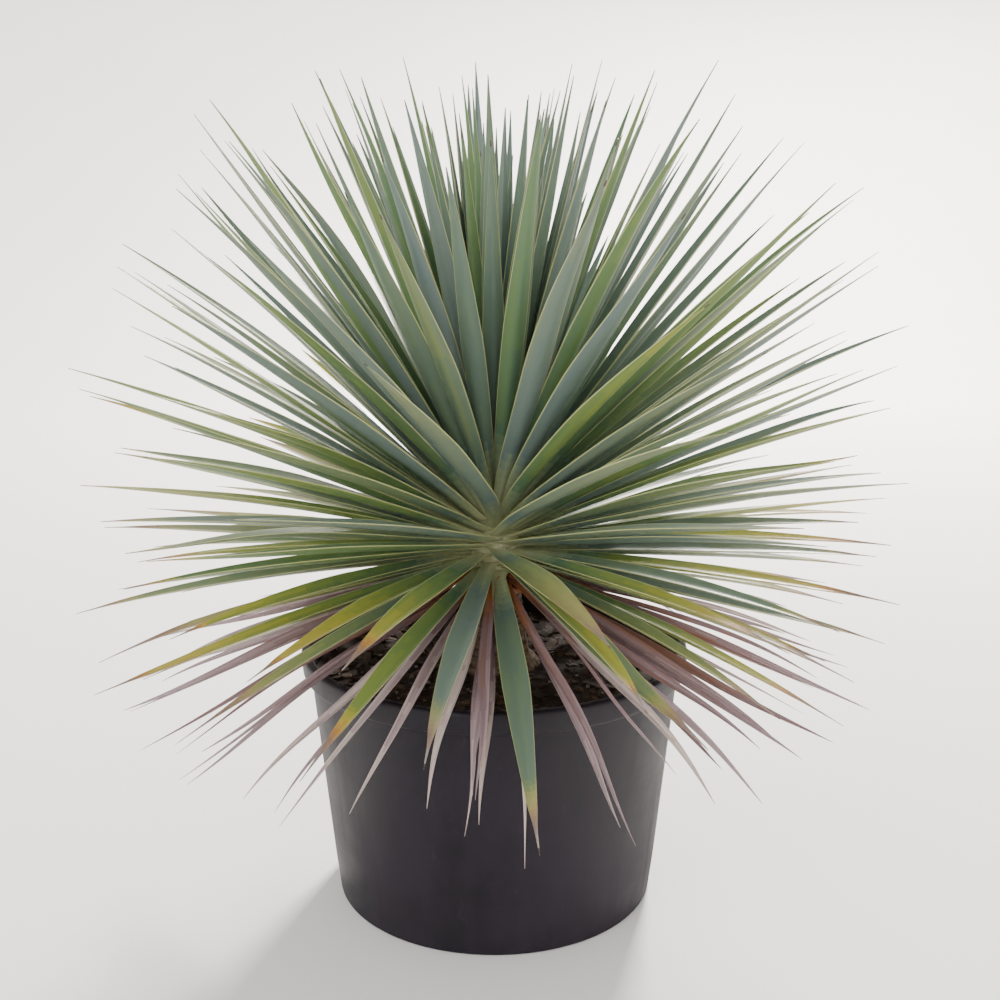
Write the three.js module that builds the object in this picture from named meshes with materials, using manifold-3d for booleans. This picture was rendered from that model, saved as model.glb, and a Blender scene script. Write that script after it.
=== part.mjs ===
// A potted yucca: one stiff rosette of sword-shaped leaves on a short stem, in a round nursery pot.
// Millimetres and degrees, +Z up. The origin is the middle of the pot's flat underside.
//
// Leaves are numbered from the oldest at the bottom (negative numbers are dead ones) to the youngest at
// the top. Each stands a golden angle round from the one before, so that every eighth leaf falls into
// the same slanting band up the stem. Three leaves that follow one another in a band are fused to one
// clasping piece of leaf bases, and that is one mass of foliage. The youngest leaves are one mass.

import * as THREE from "three";
import { mergeVertices } from "three/addons/utils/BufferGeometryUtils.js";
import Module from "manifold-3d";

const POT = {
  height: 340,
  baseRadius: 212,
  wallTopRadius: 246,
  rimRadius: 255,
  rimHeight: 30,
  rimLip: 5,
  rimStep: 2,
  wall: 4,
  floor: 5,
  baseCorner: 6,
  drainHoles: 8,
  drainHoleRadius: 8,
  drainCircleRadius: 165,
  segments: 36,
};
const SOIL = { level: 312, edgeDrop: 7, flatRadius: 90, gap: 0.4 };
const STEM = {
  footRadius: 60,
  flareHeight: 38,
  flareWaist: { rise: 0.4, inward: 0.7 },
  neckRadius: 41,
  neckTopRadius: 39,
  neckHeight: 62,
  headRadius: 31,
  tipRadius: 9,
  tipCrest: 3,
  closing: 2.2,
  segments: 18,
  gap: 0.3,
};
// The head is the part of the stem that carries leaves. One leaf number is one step up it, and the turn
// is where leaf 0 stands round the stem.
const HEAD = {
  firstLeafHeight: 448,
  turn: 140,
  risePerLeaf: 0.8,
  deadLeaves: 24,
  livingLeaves: 144,
  bands: 8,
  claspDepth: 16,
  claspGap: 0.7,
  capCrest: 6,
  capRoof: 4,
};
const LEAF = {
  lowestElevation: -16,
  steepestElevation: 86,
  length: 575,
  oldShare: 0.8,
  youngShare: 0.79,
  longestAt: 0.6,
  width: 36,
  youngWidth: 22,
  widthFall: 1.3,
  neckShare: 0.46,
  widestAt: 0.5,
  pointTaper: 1.25,
  tipWidthShare: 0.03,
  tipThicknessShare: 0.25,
  thickness: 6.4,
  channelDepth: 3.2,
  droop: 8,
  youngDroop: 2,
};
const DEAD_LEAF = {
  elevation: -16,
  lowestElevation: -16.5,
  length: 460,
  width: 17,
  thickness: 5.4,
  channelDepth: 5,
  droop: 7,
};
// Largest change of a leaf from the even rule, either way.
const VARIATION = { azimuth: 3.5, elevation: 2.6, droop: 4, roll: 14, sweep: 5, length: 0.09, width: 0.12 };
// The crown is open at the front, where the leaf bases show: leaves near the middle of this side that
// stand between these slopes lean away from it, most of all in the middle.
const OPENING = { side: -90, reach: 60, parting: 22, lowest: 4, highest: 52, fade: 8, within: 0.25 };
const SEED = 111;
const BLADE_STATIONS = [0, 4, 10, 15, 20, 24];
const SPINE_STEPS = 24;
const ROOT_DEPTH = 9;
const CUT_CLEARANCE = 0.7;
// The joined solids are cleared of faces finer than this.
const SMALLEST_DETAIL = 0.3;
const SMALLEST_HEART_DETAIL = 0.4;

const GOLDEN_ANGLE = 137.508;
// From one leaf to the next, the middle of the leaf's band moves on by three eighths of a turn.
const BAND_STEP = (3 / HEAD.bands) * 360;
const RADIANS = Math.PI / 180;
const COLOURS = {
  pot: 0x2b282d,
  soil: 0x3a2e26,
  stem: 0x6b5a45,
  dead: 0x85705c,
  old: 0x7d8348,
  middle: 0x66775a,
  young: 0x6f8068,
};

const wasm = await Module();
wasm.setup();

// Small rules

const mix = (a, b, share) => a + (b - a) * share;

// A number from -1 to 1 that is always the same for a leaf and a trait.
function chance(leaf, trait) {
  const wave = Math.sin(leaf * 12.9898 + trait * 78.233 + SEED) * 43758.5453;
  return 2 * (wave - Math.floor(wave)) - 1;
}

// The stem's outline in the head, by leaf number: a slow taper that closes in towards the tip.
function headRadius(number) {
  const share = Math.max(0, number) / (HEAD.livingLeaves - 1);
  return mix(STEM.headRadius, STEM.tipRadius, share ** STEM.closing);
}

const headHeight = (number) => HEAD.firstLeafHeight + HEAD.risePerLeaf * number;

// Radius and height in the clasp of leaf bases at a leaf number, this far out along the living leaves'
// slope.
function claspPoint(number, depth) {
  const elevation = leafElevation(Math.max(0, number)) * RADIANS;
  return {
    radius: headRadius(number) + HEAD.claspGap + depth * Math.cos(elevation),
    height: headHeight(number) + depth * Math.sin(elevation),
  };
}

function leafElevation(number) {
  if (number < 0) {
    const age = -number / HEAD.deadLeaves;
    return mix(DEAD_LEAF.elevation, DEAD_LEAF.lowestElevation, age);
  }
  const share = number / (HEAD.livingLeaves - 1);
  return mix(LEAF.lowestElevation, LEAF.steepestElevation, share);
}

// Degrees by which a leaf leans away from the middle of the open side.
function leafLean(number) {
  const turn = HEAD.turn + GOLDEN_ANGLE * number - OPENING.side;
  const side = turn - 360 * Math.round(turn / 360);
  const elevation = leafElevation(number);
  const near = 1 - Math.abs(side) / OPENING.reach;
  const inside = Math.min(elevation - OPENING.lowest, OPENING.highest - elevation) / OPENING.fade;
  const strength = THREE.MathUtils.clamp(near, 0, 1) * THREE.MathUtils.clamp(inside, 0, 1);
  return Math.sign(side) * OPENING.parting * strength;
}

// Every size and angle of one leaf.
function leafTraits(number) {
  const dead = number < 0;
  const share = Math.max(0, number) / (HEAD.livingLeaves - 1);
  const grown =
    share < LEAF.longestAt
      ? mix(LEAF.oldShare, 1, (share / LEAF.longestAt) ** 2)
      : mix(1, LEAF.youngShare, ((share - LEAF.longestAt) / (1 - LEAF.longestAt)) ** 2);
  return {
    number,
    azimuth: (HEAD.turn + GOLDEN_ANGLE * number + VARIATION.azimuth * chance(number, 1)) * RADIANS,
    elevation: (leafElevation(number) + VARIATION.elevation * chance(number, 2)) * RADIANS,
    droop:
      ((dead ? DEAD_LEAF.droop : mix(LEAF.droop, LEAF.youngDroop, share)) +
        VARIATION.droop * chance(number, 3)) *
      RADIANS,
    lean: leafLean(number) * RADIANS,
    sweep: VARIATION.sweep * chance(number, 4) * RADIANS,
    roll: VARIATION.roll * chance(number, 5) * RADIANS,
    length: (dead ? DEAD_LEAF.length : LEAF.length * grown) * (1 + VARIATION.length * chance(number, 6)),
    width:
      (dead ? DEAD_LEAF.width : mix(LEAF.width, LEAF.youngWidth, share ** LEAF.widthFall)) *
      (1 + VARIATION.width * chance(number, 7)),
    thickness: dead ? DEAD_LEAF.thickness : LEAF.thickness,
    channelDepth: dead ? DEAD_LEAF.channelDepth : LEAF.channelDepth,
  };
}

// Width along a leaf, as a share of its greatest: a narrow neck, widest past the middle, then a long point.
function widthShare(along) {
  if (along < LEAF.widestAt) {
    return mix(LEAF.neckShare, 1, Math.sin((Math.PI / 2) * (along / LEAF.widestAt)));
  }
  return 1 - (1 - LEAF.tipWidthShare) * ((along - LEAF.widestAt) / (1 - LEAF.widestAt)) ** LEAF.pointTaper;
}

// The points and directions of a leaf's middle line, from its root in the clasp to its tip.
function leafSpine(leaf) {
  const root = claspPoint(leaf.number, HEAD.claspDepth - ROOT_DEPTH);
  const point = new THREE.Vector3(
    root.radius * Math.cos(leaf.azimuth),
    root.radius * Math.sin(leaf.azimuth),
    root.height,
  );
  const points = [];
  for (let step = 0; step <= SPINE_STEPS; step += 1) {
    const along = step / SPINE_STEPS;
    const elevation = leaf.elevation - leaf.droop * along ** 2;
    const lean = leaf.lean * Math.min(1, along / OPENING.within);
    const azimuth = leaf.azimuth + lean + leaf.sweep * along ** 2;
    const direction = new THREE.Vector3(
      Math.cos(elevation) * Math.cos(azimuth),
      Math.cos(elevation) * Math.sin(azimuth),
      Math.sin(elevation),
    );
    points.push({ point: point.clone(), direction, along, azimuth });
    point.addScaledVector(direction, leaf.length / SPINE_STEPS);
  }
  return points;
}

// Solids from triangles, joined and cut with manifold-3d

function solidFrom(geometry) {
  geometry.deleteAttribute("normal");
  geometry.deleteAttribute("uv");
  const merged = mergeVertices(geometry, 1e-4);
  return new wasm.Manifold(
    new wasm.Mesh({
      numProp: 3,
      vertProperties: merged.attributes.position.array,
      triVerts: new Uint32Array(merged.index.array),
    }),
  );
}

function geometryFrom(solid) {
  const mesh = solid.getMesh();
  const geometry = new THREE.BufferGeometry();
  const corners = new Float32Array(mesh.numVert * 3);
  for (let i = 0; i < mesh.numVert; i += 1) {
    const first = i * mesh.numProp;
    corners.set(mesh.vertProperties.subarray(first, first + 3), i * 3);
  }
  geometry.setAttribute("position", new THREE.BufferAttribute(corners, 3));
  geometry.setIndex(new THREE.BufferAttribute(mesh.triVerts, 1));
  geometry.computeVertexNormals();
  return geometry;
}

// A closed skin over rings of points: side walls between the rings, and each open end closed in a strip
// that joins the first half of its ring to the second.
function skinOverRings(rings) {
  const corners = rings.flat().flatMap((p) => [p.x, p.y, p.z]);
  const size = rings[0].length;
  const faces = [];
  for (let ring = 0; ring + 1 < rings.length; ring += 1) {
    for (let i = 0; i < size; i += 1) {
      const a = ring * size + i;
      const b = ring * size + ((i + 1) % size);
      faces.push(a, b, b + size, a, b + size, a + size);
    }
  }
  const last = (rings.length - 1) * size;
  for (let i = 0; i + 1 < size / 2; i += 1) {
    const [a, b, c, d] = [i, i + 1, size - 2 - i, size - 1 - i];
    faces.push(a, c, b, a, d, c);
    faces.push(last + a, last + b, last + c, last + a, last + c, last + d);
  }
  const geometry = new THREE.BufferGeometry();
  geometry.setAttribute("position", new THREE.Float32BufferAttribute(corners, 3));
  geometry.setIndex(faces);
  return geometry;
}

// One blade: a shallow channel above, a keel below, sharp edges and a point. grow fattens it for cutting.
function bladeSolid(leaf, grow = 0) {
  const spine = leafSpine(leaf);
  const rings = BLADE_STATIONS.map((station) => {
    const { point, direction, along, azimuth } = spine[station];
    const across = new THREE.Vector3(-Math.sin(azimuth), Math.cos(azimuth), 0);
    across.applyAxisAngle(direction, leaf.roll * along);
    const upper = direction.clone().cross(across);
    const share = widthShare(along);
    const half = (leaf.width * share) / 2;
    const raised = leaf.channelDepth * share;
    const keel = leaf.thickness * (along < 1 ? 1 : LEAF.tipThicknessShare);
    // Slopes of the upper and lower faces. Growing moves each face out by the same distance.
    const above = Math.atan2(raised, half);
    const below = Math.atan2(raised + keel, half);
    const sharpness = grow / Math.sin(below - above);
    const side = half + sharpness * (Math.cos(above) + Math.cos(below));
    const edge = raised + sharpness * (Math.sin(above) + Math.sin(below));
    return [
      point.clone().addScaledVector(across, side).addScaledVector(upper, edge),
      point.clone().addScaledVector(upper, grow / Math.cos(above)),
      point.clone().addScaledVector(across, -side).addScaledVector(upper, edge),
      point.clone().addScaledVector(upper, -keel - grow / Math.cos(below)),
    ];
  });
  return solidFrom(skinOverRings(rings));
}

// A band's clasping leaf bases, from one leaf number to another: a slanting piece of a tube round the stem.
// Growing moves its ends by that much, and its slanting sides and its outside by enough to cover the slant.
function claspSolid({ band, foot, top }, grow = 0) {
  const columns = 3;
  const rows = Math.round((top - foot) / HEAD.bands);
  const halfBand = 180 / HEAD.bands;
  const bandTwist = GOLDEN_ANGLE - BAND_STEP;
  const rings = [];
  for (let row = 0; row <= rows; row += 1) {
    const spread = row === 0 ? -grow : row === rows ? grow : 0;
    const number = mix(foot, top, row / rows);
    const level = number + spread / HEAD.risePerLeaf;
    const inner = claspPoint(level, -grow);
    const outer = claspPoint(level, HEAD.claspDepth + 2 * grow);
    const sideGap = (HEAD.claspGap - 3 * grow) / inner.radius / RADIANS;
    const arc = [];
    for (let column = 0; column <= columns; column += 1) {
      const across = mix(-halfBand + sideGap, halfBand - sideGap, column / columns);
      arc.push((HEAD.turn + BAND_STEP * band + bandTwist * number + across) * RADIANS);
    }
    const place = ({ radius, height }) => (angle) =>
      new THREE.Vector3(radius * Math.cos(angle), radius * Math.sin(angle), height);
    rings.push([...arc.map(place(outer)), ...arc.map(place(inner)).reverse()]);
  }
  return solidFrom(skinOverRings(rings));
}

// The youngest leaves clasp the stem's tip all round, as a cap over the ends of the eight bands.
function capSolid({ from, top }, grow = 0) {
  const foot = from + HEAD.bands;
  const ends = [];
  for (let band = 0; band < HEAD.bands; band += 1) {
    const end = { band, foot: from + band - HEAD.bands / 2 + HEAD.claspGap, top: foot + HEAD.bands };
    ends.push(claspSolid(end, grow));
  }
  const outside = [];
  const inside = [];
  for (let number = foot; number <= top; number += HEAD.bands) {
    const outer = claspPoint(number, HEAD.claspDepth + grow);
    const inner = claspPoint(number, 0);
    const drop = number === foot ? grow : 0;
    outside.push(new THREE.Vector2(outer.radius, outer.height - drop));
    inside.unshift(new THREE.Vector2(inner.radius, inner.height - drop));
  }
  const crest = outside[outside.length - 1].y + HEAD.capCrest;
  const roof = inside[0].y + HEAD.capRoof;
  const profile = [new THREE.Vector2(0, roof), ...inside, ...outside, new THREE.Vector2(0, crest)];
  const geometry = new THREE.LatheGeometry(profile, STEM.segments);
  geometry.rotateX(Math.PI / 2);
  return wasm.Manifold.union([solidFrom(geometry), ...ends]);
}

// Masses of foliage

const TIERS = [
  { name: "dead_leaves", from: -24, to: 0, colour: COLOURS.dead },
  { name: "low_leaves", from: 0, to: 24, colour: COLOURS.old },
  { name: "spreading_leaves", from: 24, to: 48, colour: COLOURS.middle },
  { name: "rising_leaves", from: 48, to: 72, colour: COLOURS.middle },
  { name: "steep_leaves", from: 72, to: 96, colour: COLOURS.young },
];
const HEART = { name: "heart_leaves", from: 96, to: HEAD.livingLeaves, colour: COLOURS.young };

// Cutting can leave a loose scrap beside a mass, and clearing small faces can seal a pocket inside it.
// Only the skin of the mass itself is kept.
const largestBody = (solid) => solid.decompose().sort((a, b) => b.volume() - a.volume())[0];

function massPlans() {
  const plans = [];
  const half = HEAD.bands / 2;
  for (const tier of TIERS) {
    for (let band = 0; band < HEAD.bands; band += 1) {
      const numbers = [];
      for (let number = tier.from; number < tier.to; number += 1) {
        if ((number - band) % HEAD.bands === 0) numbers.push(number);
      }
      const name = `${tier.name}_${band + 1}`;
      const foot = numbers[0] - half + HEAD.claspGap;
      const top = numbers[numbers.length - 1] + half - HEAD.claspGap;
      const detail = SMALLEST_DETAIL;
      plans.push({ name, colour: tier.colour, band, numbers, foot, top, hub: claspSolid, detail });
    }
  }
  const numbers = [];
  for (let number = HEART.from; number < HEART.to; number += 1) numbers.push(number);
  plans.push({ ...HEART, numbers, top: HEART.to, hub: capSolid, detail: SMALLEST_HEART_DETAIL });
  return plans;
}

function material(colour, roughness) {
  return new THREE.MeshStandardMaterial({ color: colour, roughness, metalness: 0 });
}

function named(name, geometry, surface) {
  const mesh = new THREE.Mesh(geometry, surface);
  mesh.name = name;
  return mesh;
}

function buildFoliage() {
  const plans = massPlans();
  const group = new THREE.Group();
  const taken = [];
  const rooms = plans.map((plan) => plan.hub(plan, CUT_CLEARANCE));
  plans.forEach((plan, index) => {
    const leaves = plan.numbers.map(leafTraits);
    const otherRooms = rooms.filter((room, other) => other !== index);
    const blades = wasm.Manifold.union(leaves.map((leaf) => bladeSolid(leaf)));
    const solid = blades.subtract(wasm.Manifold.union([...otherRooms, ...taken])).add(plan.hub(plan));
    taken.push(...leaves.map((leaf) => bladeSolid(leaf, CUT_CLEARANCE)));
    const whole = largestBody(largestBody(solid).asOriginal().simplify(plan.detail));
    group.add(named(plan.name, geometryFrom(whole), material(plan.colour, 0.55)));
  });
  return group;
}

const foliage = buildFoliage();

// The stem: a flared foot on the soil, a straight neck, and the tapering head inside the clasps.
function buildStem() {
  const foot = SOIL.level + STEM.gap;
  const profile = [
    new THREE.Vector2(0, foot),
    new THREE.Vector2(STEM.footRadius, foot),
    new THREE.Vector2(
      mix(STEM.footRadius, STEM.neckRadius, STEM.flareWaist.inward),
      foot + STEM.flareHeight * STEM.flareWaist.rise,
    ),
    new THREE.Vector2(STEM.neckRadius, foot + STEM.flareHeight),
    new THREE.Vector2(STEM.neckTopRadius, foot + STEM.neckHeight),
  ];
  const firstNumber = -HEAD.deadLeaves - HEAD.bands / 2;
  for (let number = firstNumber; number <= HEAD.livingLeaves; number += 3 * HEAD.bands) {
    profile.push(new THREE.Vector2(headRadius(number), headHeight(number)));
  }
  profile.push(new THREE.Vector2(0, profile[profile.length - 1].y + STEM.tipCrest));
  return named("stem", new THREE.LatheGeometry(profile, STEM.segments), material(COLOURS.stem, 0.9));
}

// The pot: a tapering wall with a rolled rim, a flat floor and drain holes.
function buildPot() {
  const { height, baseRadius, wallTopRadius, rimRadius, rimLip, rimStep, wall, floor, baseCorner } = POT;
  const skirt = height - POT.rimHeight;
  const wallAt = (z) => mix(baseRadius, wallTopRadius, z / height);
  const profile = [
    [0, 0],
    [baseRadius - baseCorner, 0],
    [baseRadius, baseCorner],
    [wallAt(skirt), skirt],
    [rimRadius - rimStep, skirt + rimStep],
    [rimRadius, height - rimLip],
    [rimRadius - rimStep, height],
    [wallTopRadius - wall, height],
    [wallAt(skirt) - wall, skirt - baseCorner],
    [baseRadius - wall, floor + baseCorner],
    [baseRadius - wall - baseCorner, floor],
    [0, floor],
  ].map(([r, z]) => new THREE.Vector2(r, z));
  const turnedShell = new THREE.LatheGeometry(profile, POT.segments);
  turnedShell.rotateX(Math.PI / 2);
  let shell = solidFrom(turnedShell);
  for (let i = 0; i < POT.drainHoles; i += 1) {
    const angle = ((i + 0.5) / POT.drainHoles) * 2 * Math.PI;
    const hole = new THREE.CylinderGeometry(POT.drainHoleRadius, POT.drainHoleRadius, floor * 4, 8);
    hole.rotateX(Math.PI / 2);
    hole.translate(POT.drainCircleRadius * Math.cos(angle), POT.drainCircleRadius * Math.sin(angle), 0);
    shell = shell.subtract(solidFrom(hole));
  }
  return named("pot", geometryFrom(shell), material(COLOURS.pot, 0.5));
}

// The potting mix fills the pot, with its surface a little lower at the wall.
function buildSoil() {
  const { height, baseRadius, wallTopRadius, wall, floor, baseCorner } = POT;
  const inside = (z) => mix(baseRadius, wallTopRadius, z / height) - wall - SOIL.gap * 2;
  const edge = SOIL.level - SOIL.edgeDrop;
  const profile = [
    [0, floor + SOIL.gap],
    [baseRadius - wall - baseCorner - SOIL.gap, floor + SOIL.gap],
    [inside(0), floor + baseCorner + SOIL.gap],
    [inside(edge), edge],
    [SOIL.flatRadius, SOIL.level],
    [0, SOIL.level],
  ].map(([r, z]) => new THREE.Vector2(r, z));
  return named("potting_soil", new THREE.LatheGeometry(profile, POT.segments), material(COLOURS.soil, 1));
}

const yucca = new THREE.Group();
// A lathe turns about Y, so the turned pieces stand up together in one group.
const turned = new THREE.Group();
turned.rotation.x = Math.PI / 2;
turned.add(buildSoil(), buildStem());
yucca.add(turned, buildPot(), foliage);

export default yucca;
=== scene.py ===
import math

import bmesh
import bpy
import numpy as np
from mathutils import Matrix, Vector


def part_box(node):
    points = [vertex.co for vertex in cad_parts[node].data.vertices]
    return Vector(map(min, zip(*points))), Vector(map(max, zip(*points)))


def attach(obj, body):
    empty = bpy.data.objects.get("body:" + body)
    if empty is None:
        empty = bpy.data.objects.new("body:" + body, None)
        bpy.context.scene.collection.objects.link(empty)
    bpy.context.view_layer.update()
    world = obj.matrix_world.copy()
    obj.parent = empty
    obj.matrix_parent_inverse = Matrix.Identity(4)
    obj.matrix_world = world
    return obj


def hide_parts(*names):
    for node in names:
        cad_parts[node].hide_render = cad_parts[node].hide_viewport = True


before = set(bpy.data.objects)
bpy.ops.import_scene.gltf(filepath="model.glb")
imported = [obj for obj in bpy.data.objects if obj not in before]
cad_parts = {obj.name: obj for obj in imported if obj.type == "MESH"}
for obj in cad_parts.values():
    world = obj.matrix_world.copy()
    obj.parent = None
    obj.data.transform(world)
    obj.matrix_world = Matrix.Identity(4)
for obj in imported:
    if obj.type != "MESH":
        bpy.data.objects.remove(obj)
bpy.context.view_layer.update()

# The pot
# A black nursery container, moulded in one piece of plastic: a tapering wall, a thick rolled rim to
# lift it by, a foot ring with a raised floor inside it, and drain holes. It is dusty and scuffed.

_, pot_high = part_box("pot")
POT_HEIGHT = pot_high.z
RIM_RADIUS = pot_high.x
BASE_RADIUS = 0.212
WALL_TOP_RADIUS = 0.246
WALL = 0.004
RIM_HEIGHT = 0.03
FLOOR_LIFT = 0.003
FLOOR = 0.006
FOOT_RING = 0.014
FOOT_SLOPE = 0.002
FOOT_INSET = 0.001
WALL_RINGS = (0.05, 0.25)
NECK_UNDER_RIM = 0.012
RIM_UNDERSIDE_RISE = 0.001
RIM_BELLY_RISE = 0.016
RIM_TUCK = 0.002
RIM_LEAN = 0.0005
RIM_INNER_TUCK = 0.0015
POT_SEGMENTS = 160
DRAIN_HOLES = 8
DRAIN_HOLE_RADIUS = 0.008
DRAIN_CIRCLE = 0.165
OUT_OF_ROUND = 0.0008


def wall_radius(height):
    return BASE_RADIUS + (WALL_TOP_RADIUS - BASE_RADIUS) * height / POT_HEIGHT


def rounded_outline(corners, steps=6):
    """Points along (radius, height, rounding) corners. Each corner is turned by a curve of that size."""
    points = [Vector(corners[0][:2])]
    for before, corner, after in zip(corners, corners[1:], corners[2:]):
        middle = Vector(corner[:2])
        start = middle + (Vector(before[:2]) - middle).normalized() * corner[2]
        end = middle + (Vector(after[:2]) - middle).normalized() * corner[2]
        for step in range(steps + 1):
            share = step / steps
            points.append(start.lerp(middle, share).lerp(middle.lerp(end, share), share))
    points.append(Vector(corners[-1][:2]))
    return points


def turned(outline, segments):
    """Points and faces of an outline turned about the upright axis. Its two ends lie on the axis."""
    angles = np.arange(segments) / segments * 2 * math.pi
    rings = np.array([tuple(p) for p in outline[1:-1]])
    around = np.stack([np.cos(angles), np.sin(angles)], axis=-1)
    grid = np.empty((len(rings), segments, 3))
    grid[..., :2] = rings[:, None, :1] * around[None]
    grid[..., 2] = rings[:, 1:]
    points = np.concatenate([grid.reshape(-1, 3), [(0, 0, outline[0].y)], [(0, 0, outline[-1].y)]])
    first_pole = len(points) - 2
    faces = []
    for ring in range(len(rings) - 1):
        for i in range(segments):
            a = ring * segments + i
            b = ring * segments + (i + 1) % segments
            faces.append((a, b, b + segments, a + segments))
    last = (len(rings) - 1) * segments
    for i in range(segments):
        after = (i + 1) % segments
        faces.append((first_pole, after, i))
        faces.append((first_pole + 1, last + i, last + after))
    return points, faces


def new_piece(name, points, faces, materials, crease=40):
    """A mesh object with smooth shading that breaks at edges sharper than crease degrees."""
    mesh = bpy.data.meshes.new(name)
    mesh.from_pydata(points, [], faces)
    for material in materials:
        mesh.materials.append(material)
    mesh.shade_smooth()
    mesh.set_sharp_from_angle(angle=math.radians(crease))
    piece = bpy.data.objects.new(name, mesh)
    bpy.context.scene.collection.objects.link(piece)
    return piece


def cut_holes(piece, places, radius, depth):
    """Upright round holes through the bottom of a piece."""
    cutter_mesh = bmesh.new()
    for x, y in places:
        made = bmesh.ops.create_cone(
            cutter_mesh, cap_ends=True, segments=24, radius1=radius, radius2=radius, depth=depth
        )
        bmesh.ops.translate(cutter_mesh, verts=made["verts"], vec=(x, y, 0))
    cutter = new_piece("hole_cutter", [], [], [])
    cutter_mesh.to_mesh(cutter.data)
    cutter_mesh.free()
    cut = piece.modifiers.new("holes", "BOOLEAN")
    cut.operation = "DIFFERENCE"
    cut.solver = "EXACT"
    cut.object = cutter
    graph = bpy.context.evaluated_depsgraph_get()
    whole = piece.data
    piece.data = bpy.data.meshes.new_from_object(piece.evaluated_get(graph))
    piece.modifiers.clear()
    bpy.data.objects.remove(cutter)
    bpy.data.meshes.remove(whole)


class Signal:
    """A shader socket. Arithmetic on it adds Math nodes, and node() adds any other kind of node."""

    def __init__(self, socket):
        self.socket = socket

    def node(self, kind, settings=None, sockets=None, output=0):
        """A node with these settings, and with these values or signals on its sockets."""
        tree = self.socket.id_data
        made = tree.nodes.new(kind)
        for setting, value in (settings or {}).items():
            if setting == "stops":
                for element, (position, shade) in zip(made.color_ramp.elements, value):
                    element.position = position
                    element.color = (shade, shade, shade, 1)
            else:
                setattr(made, setting, value)
        for name, value in (sockets or {}).items():
            if isinstance(value, Signal):
                tree.links.new(value.socket, made.inputs[name])
            else:
                made.inputs[name].default_value = value
        return Signal(made.outputs[output])

    def maths(self, operation, first, second):
        return self.node("ShaderNodeMath", {"operation": operation}, {0: first, 1: second})

    def __add__(self, other):
        return self.maths("ADD", self, other)

    __radd__ = __add__

    def __sub__(self, other):
        return self.maths("SUBTRACT", self, other)

    def __rsub__(self, other):
        return self.maths("SUBTRACT", other, self)

    def __mul__(self, other):
        return self.maths("MULTIPLY", self, other)

    __rmul__ = __mul__

    def stretched(self, scale):
        """This vector with each part multiplied by its own scale."""
        return self.node("ShaderNodeVectorMath", {"operation": "MULTIPLY"}, {0: self, 1: scale})

    def noise(self, scale, detail=4.0, roughness=0.55):
        """A cloudy pattern from 0 to 1 over this vector."""
        sockets = {"Vector": self, "Scale": scale, "Detail": detail, "Roughness": roughness}
        return self.node("ShaderNodeTexNoise", None, sockets)

    def step(self, low, high):
        """0 where this is under low, 1 where it is over high, and a ramp between them."""
        return self.node("ShaderNodeValToRGB", {"stops": [(low, 0), (high, 1)]}, {"Fac": self})

    def between(self, first, second):
        """The colour that goes from first to second as this goes from 0 to 1."""
        return self.node("ShaderNodeMix", {"data_type": "RGBA"}, {0: self, 6: first, 7: second}, 2)

    def bump(self, strength, distance):
        """The surface normal that this height gives."""
        return self.node(
            "ShaderNodeBump", None, {"Height": self, "Strength": strength, "Distance": distance}
        )


def colour(red, green, blue):
    """A screen colour from 0 to 255 as the linear colour that a shader takes."""
    parts = [value / 255 for value in (red, green, blue)]
    linear = [p / 12.92 if p <= 0.04045 else ((p + 0.055) / 1.055) ** 2.4 for p in parts]
    return (*linear, 1)


def new_material(name, coordinates="Object"):
    """An empty material, and the coordinates that its pattern starts from."""
    material = bpy.data.materials.new(name)
    material.use_nodes = True
    start = material.node_tree.nodes.new("ShaderNodeTexCoord")
    return material, Signal(start.outputs[coordinates])


def finish(material, **sockets):
    """Sets or links the shader's sockets, named with _ for a space, and returns the material."""
    shader = material.node_tree.nodes["Principled BSDF"]
    for name, value in sockets.items():
        socket = shader.inputs[name.replace("_", " ")]
        if isinstance(value, Signal):
            material.node_tree.links.new(value.socket, socket)
        else:
            socket.default_value = value
    return material


def pot_plastic():
    """Black plastic gone a little purple in the sun, with dust, dried runs of water and scuffs."""
    material, place = new_material("pot_plastic")
    clouds = place.noise(7, 5)
    grains = place.noise(160, 3)
    runs = place.stretched((42, 42, 1.6)).noise(1, 3).step(0.5, 0.72)
    height = place.node("ShaderNodeSeparateXYZ", None, {0: place}, "Z") * (1 / POT_HEIGHT)
    dust = (clouds.step(0.36, 0.72) * 0.6 + runs * 0.3 + grains * 0.2) * (1.15 - height * 0.5)
    scuffs = place.stretched((90, 90, 26)).noise(1, 4, 0.7).step(0.62, 0.78)
    plastic = clouds.between(colour(14, 10, 17), colour(22, 17, 26))
    dusty = (dust * 0.19).between(plastic, colour(84, 70, 84))
    scuffed = (scuffs * 0.14).between(dusty, colour(94, 84, 94))
    relief = grains * 0.5 + runs * 0.1 + scuffs * 0.2 + place.noise(34, 2) * 0.8
    return finish(
        material,
        Base_Color=scuffed,
        Roughness=0.42 + dust * 0.38 + scuffs * 0.1,
        Normal=relief.bump(0.22, 0.0009),
        Specular_IOR_Level=0.24,
    )


skirt = POT_HEIGHT - RIM_HEIGHT
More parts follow.
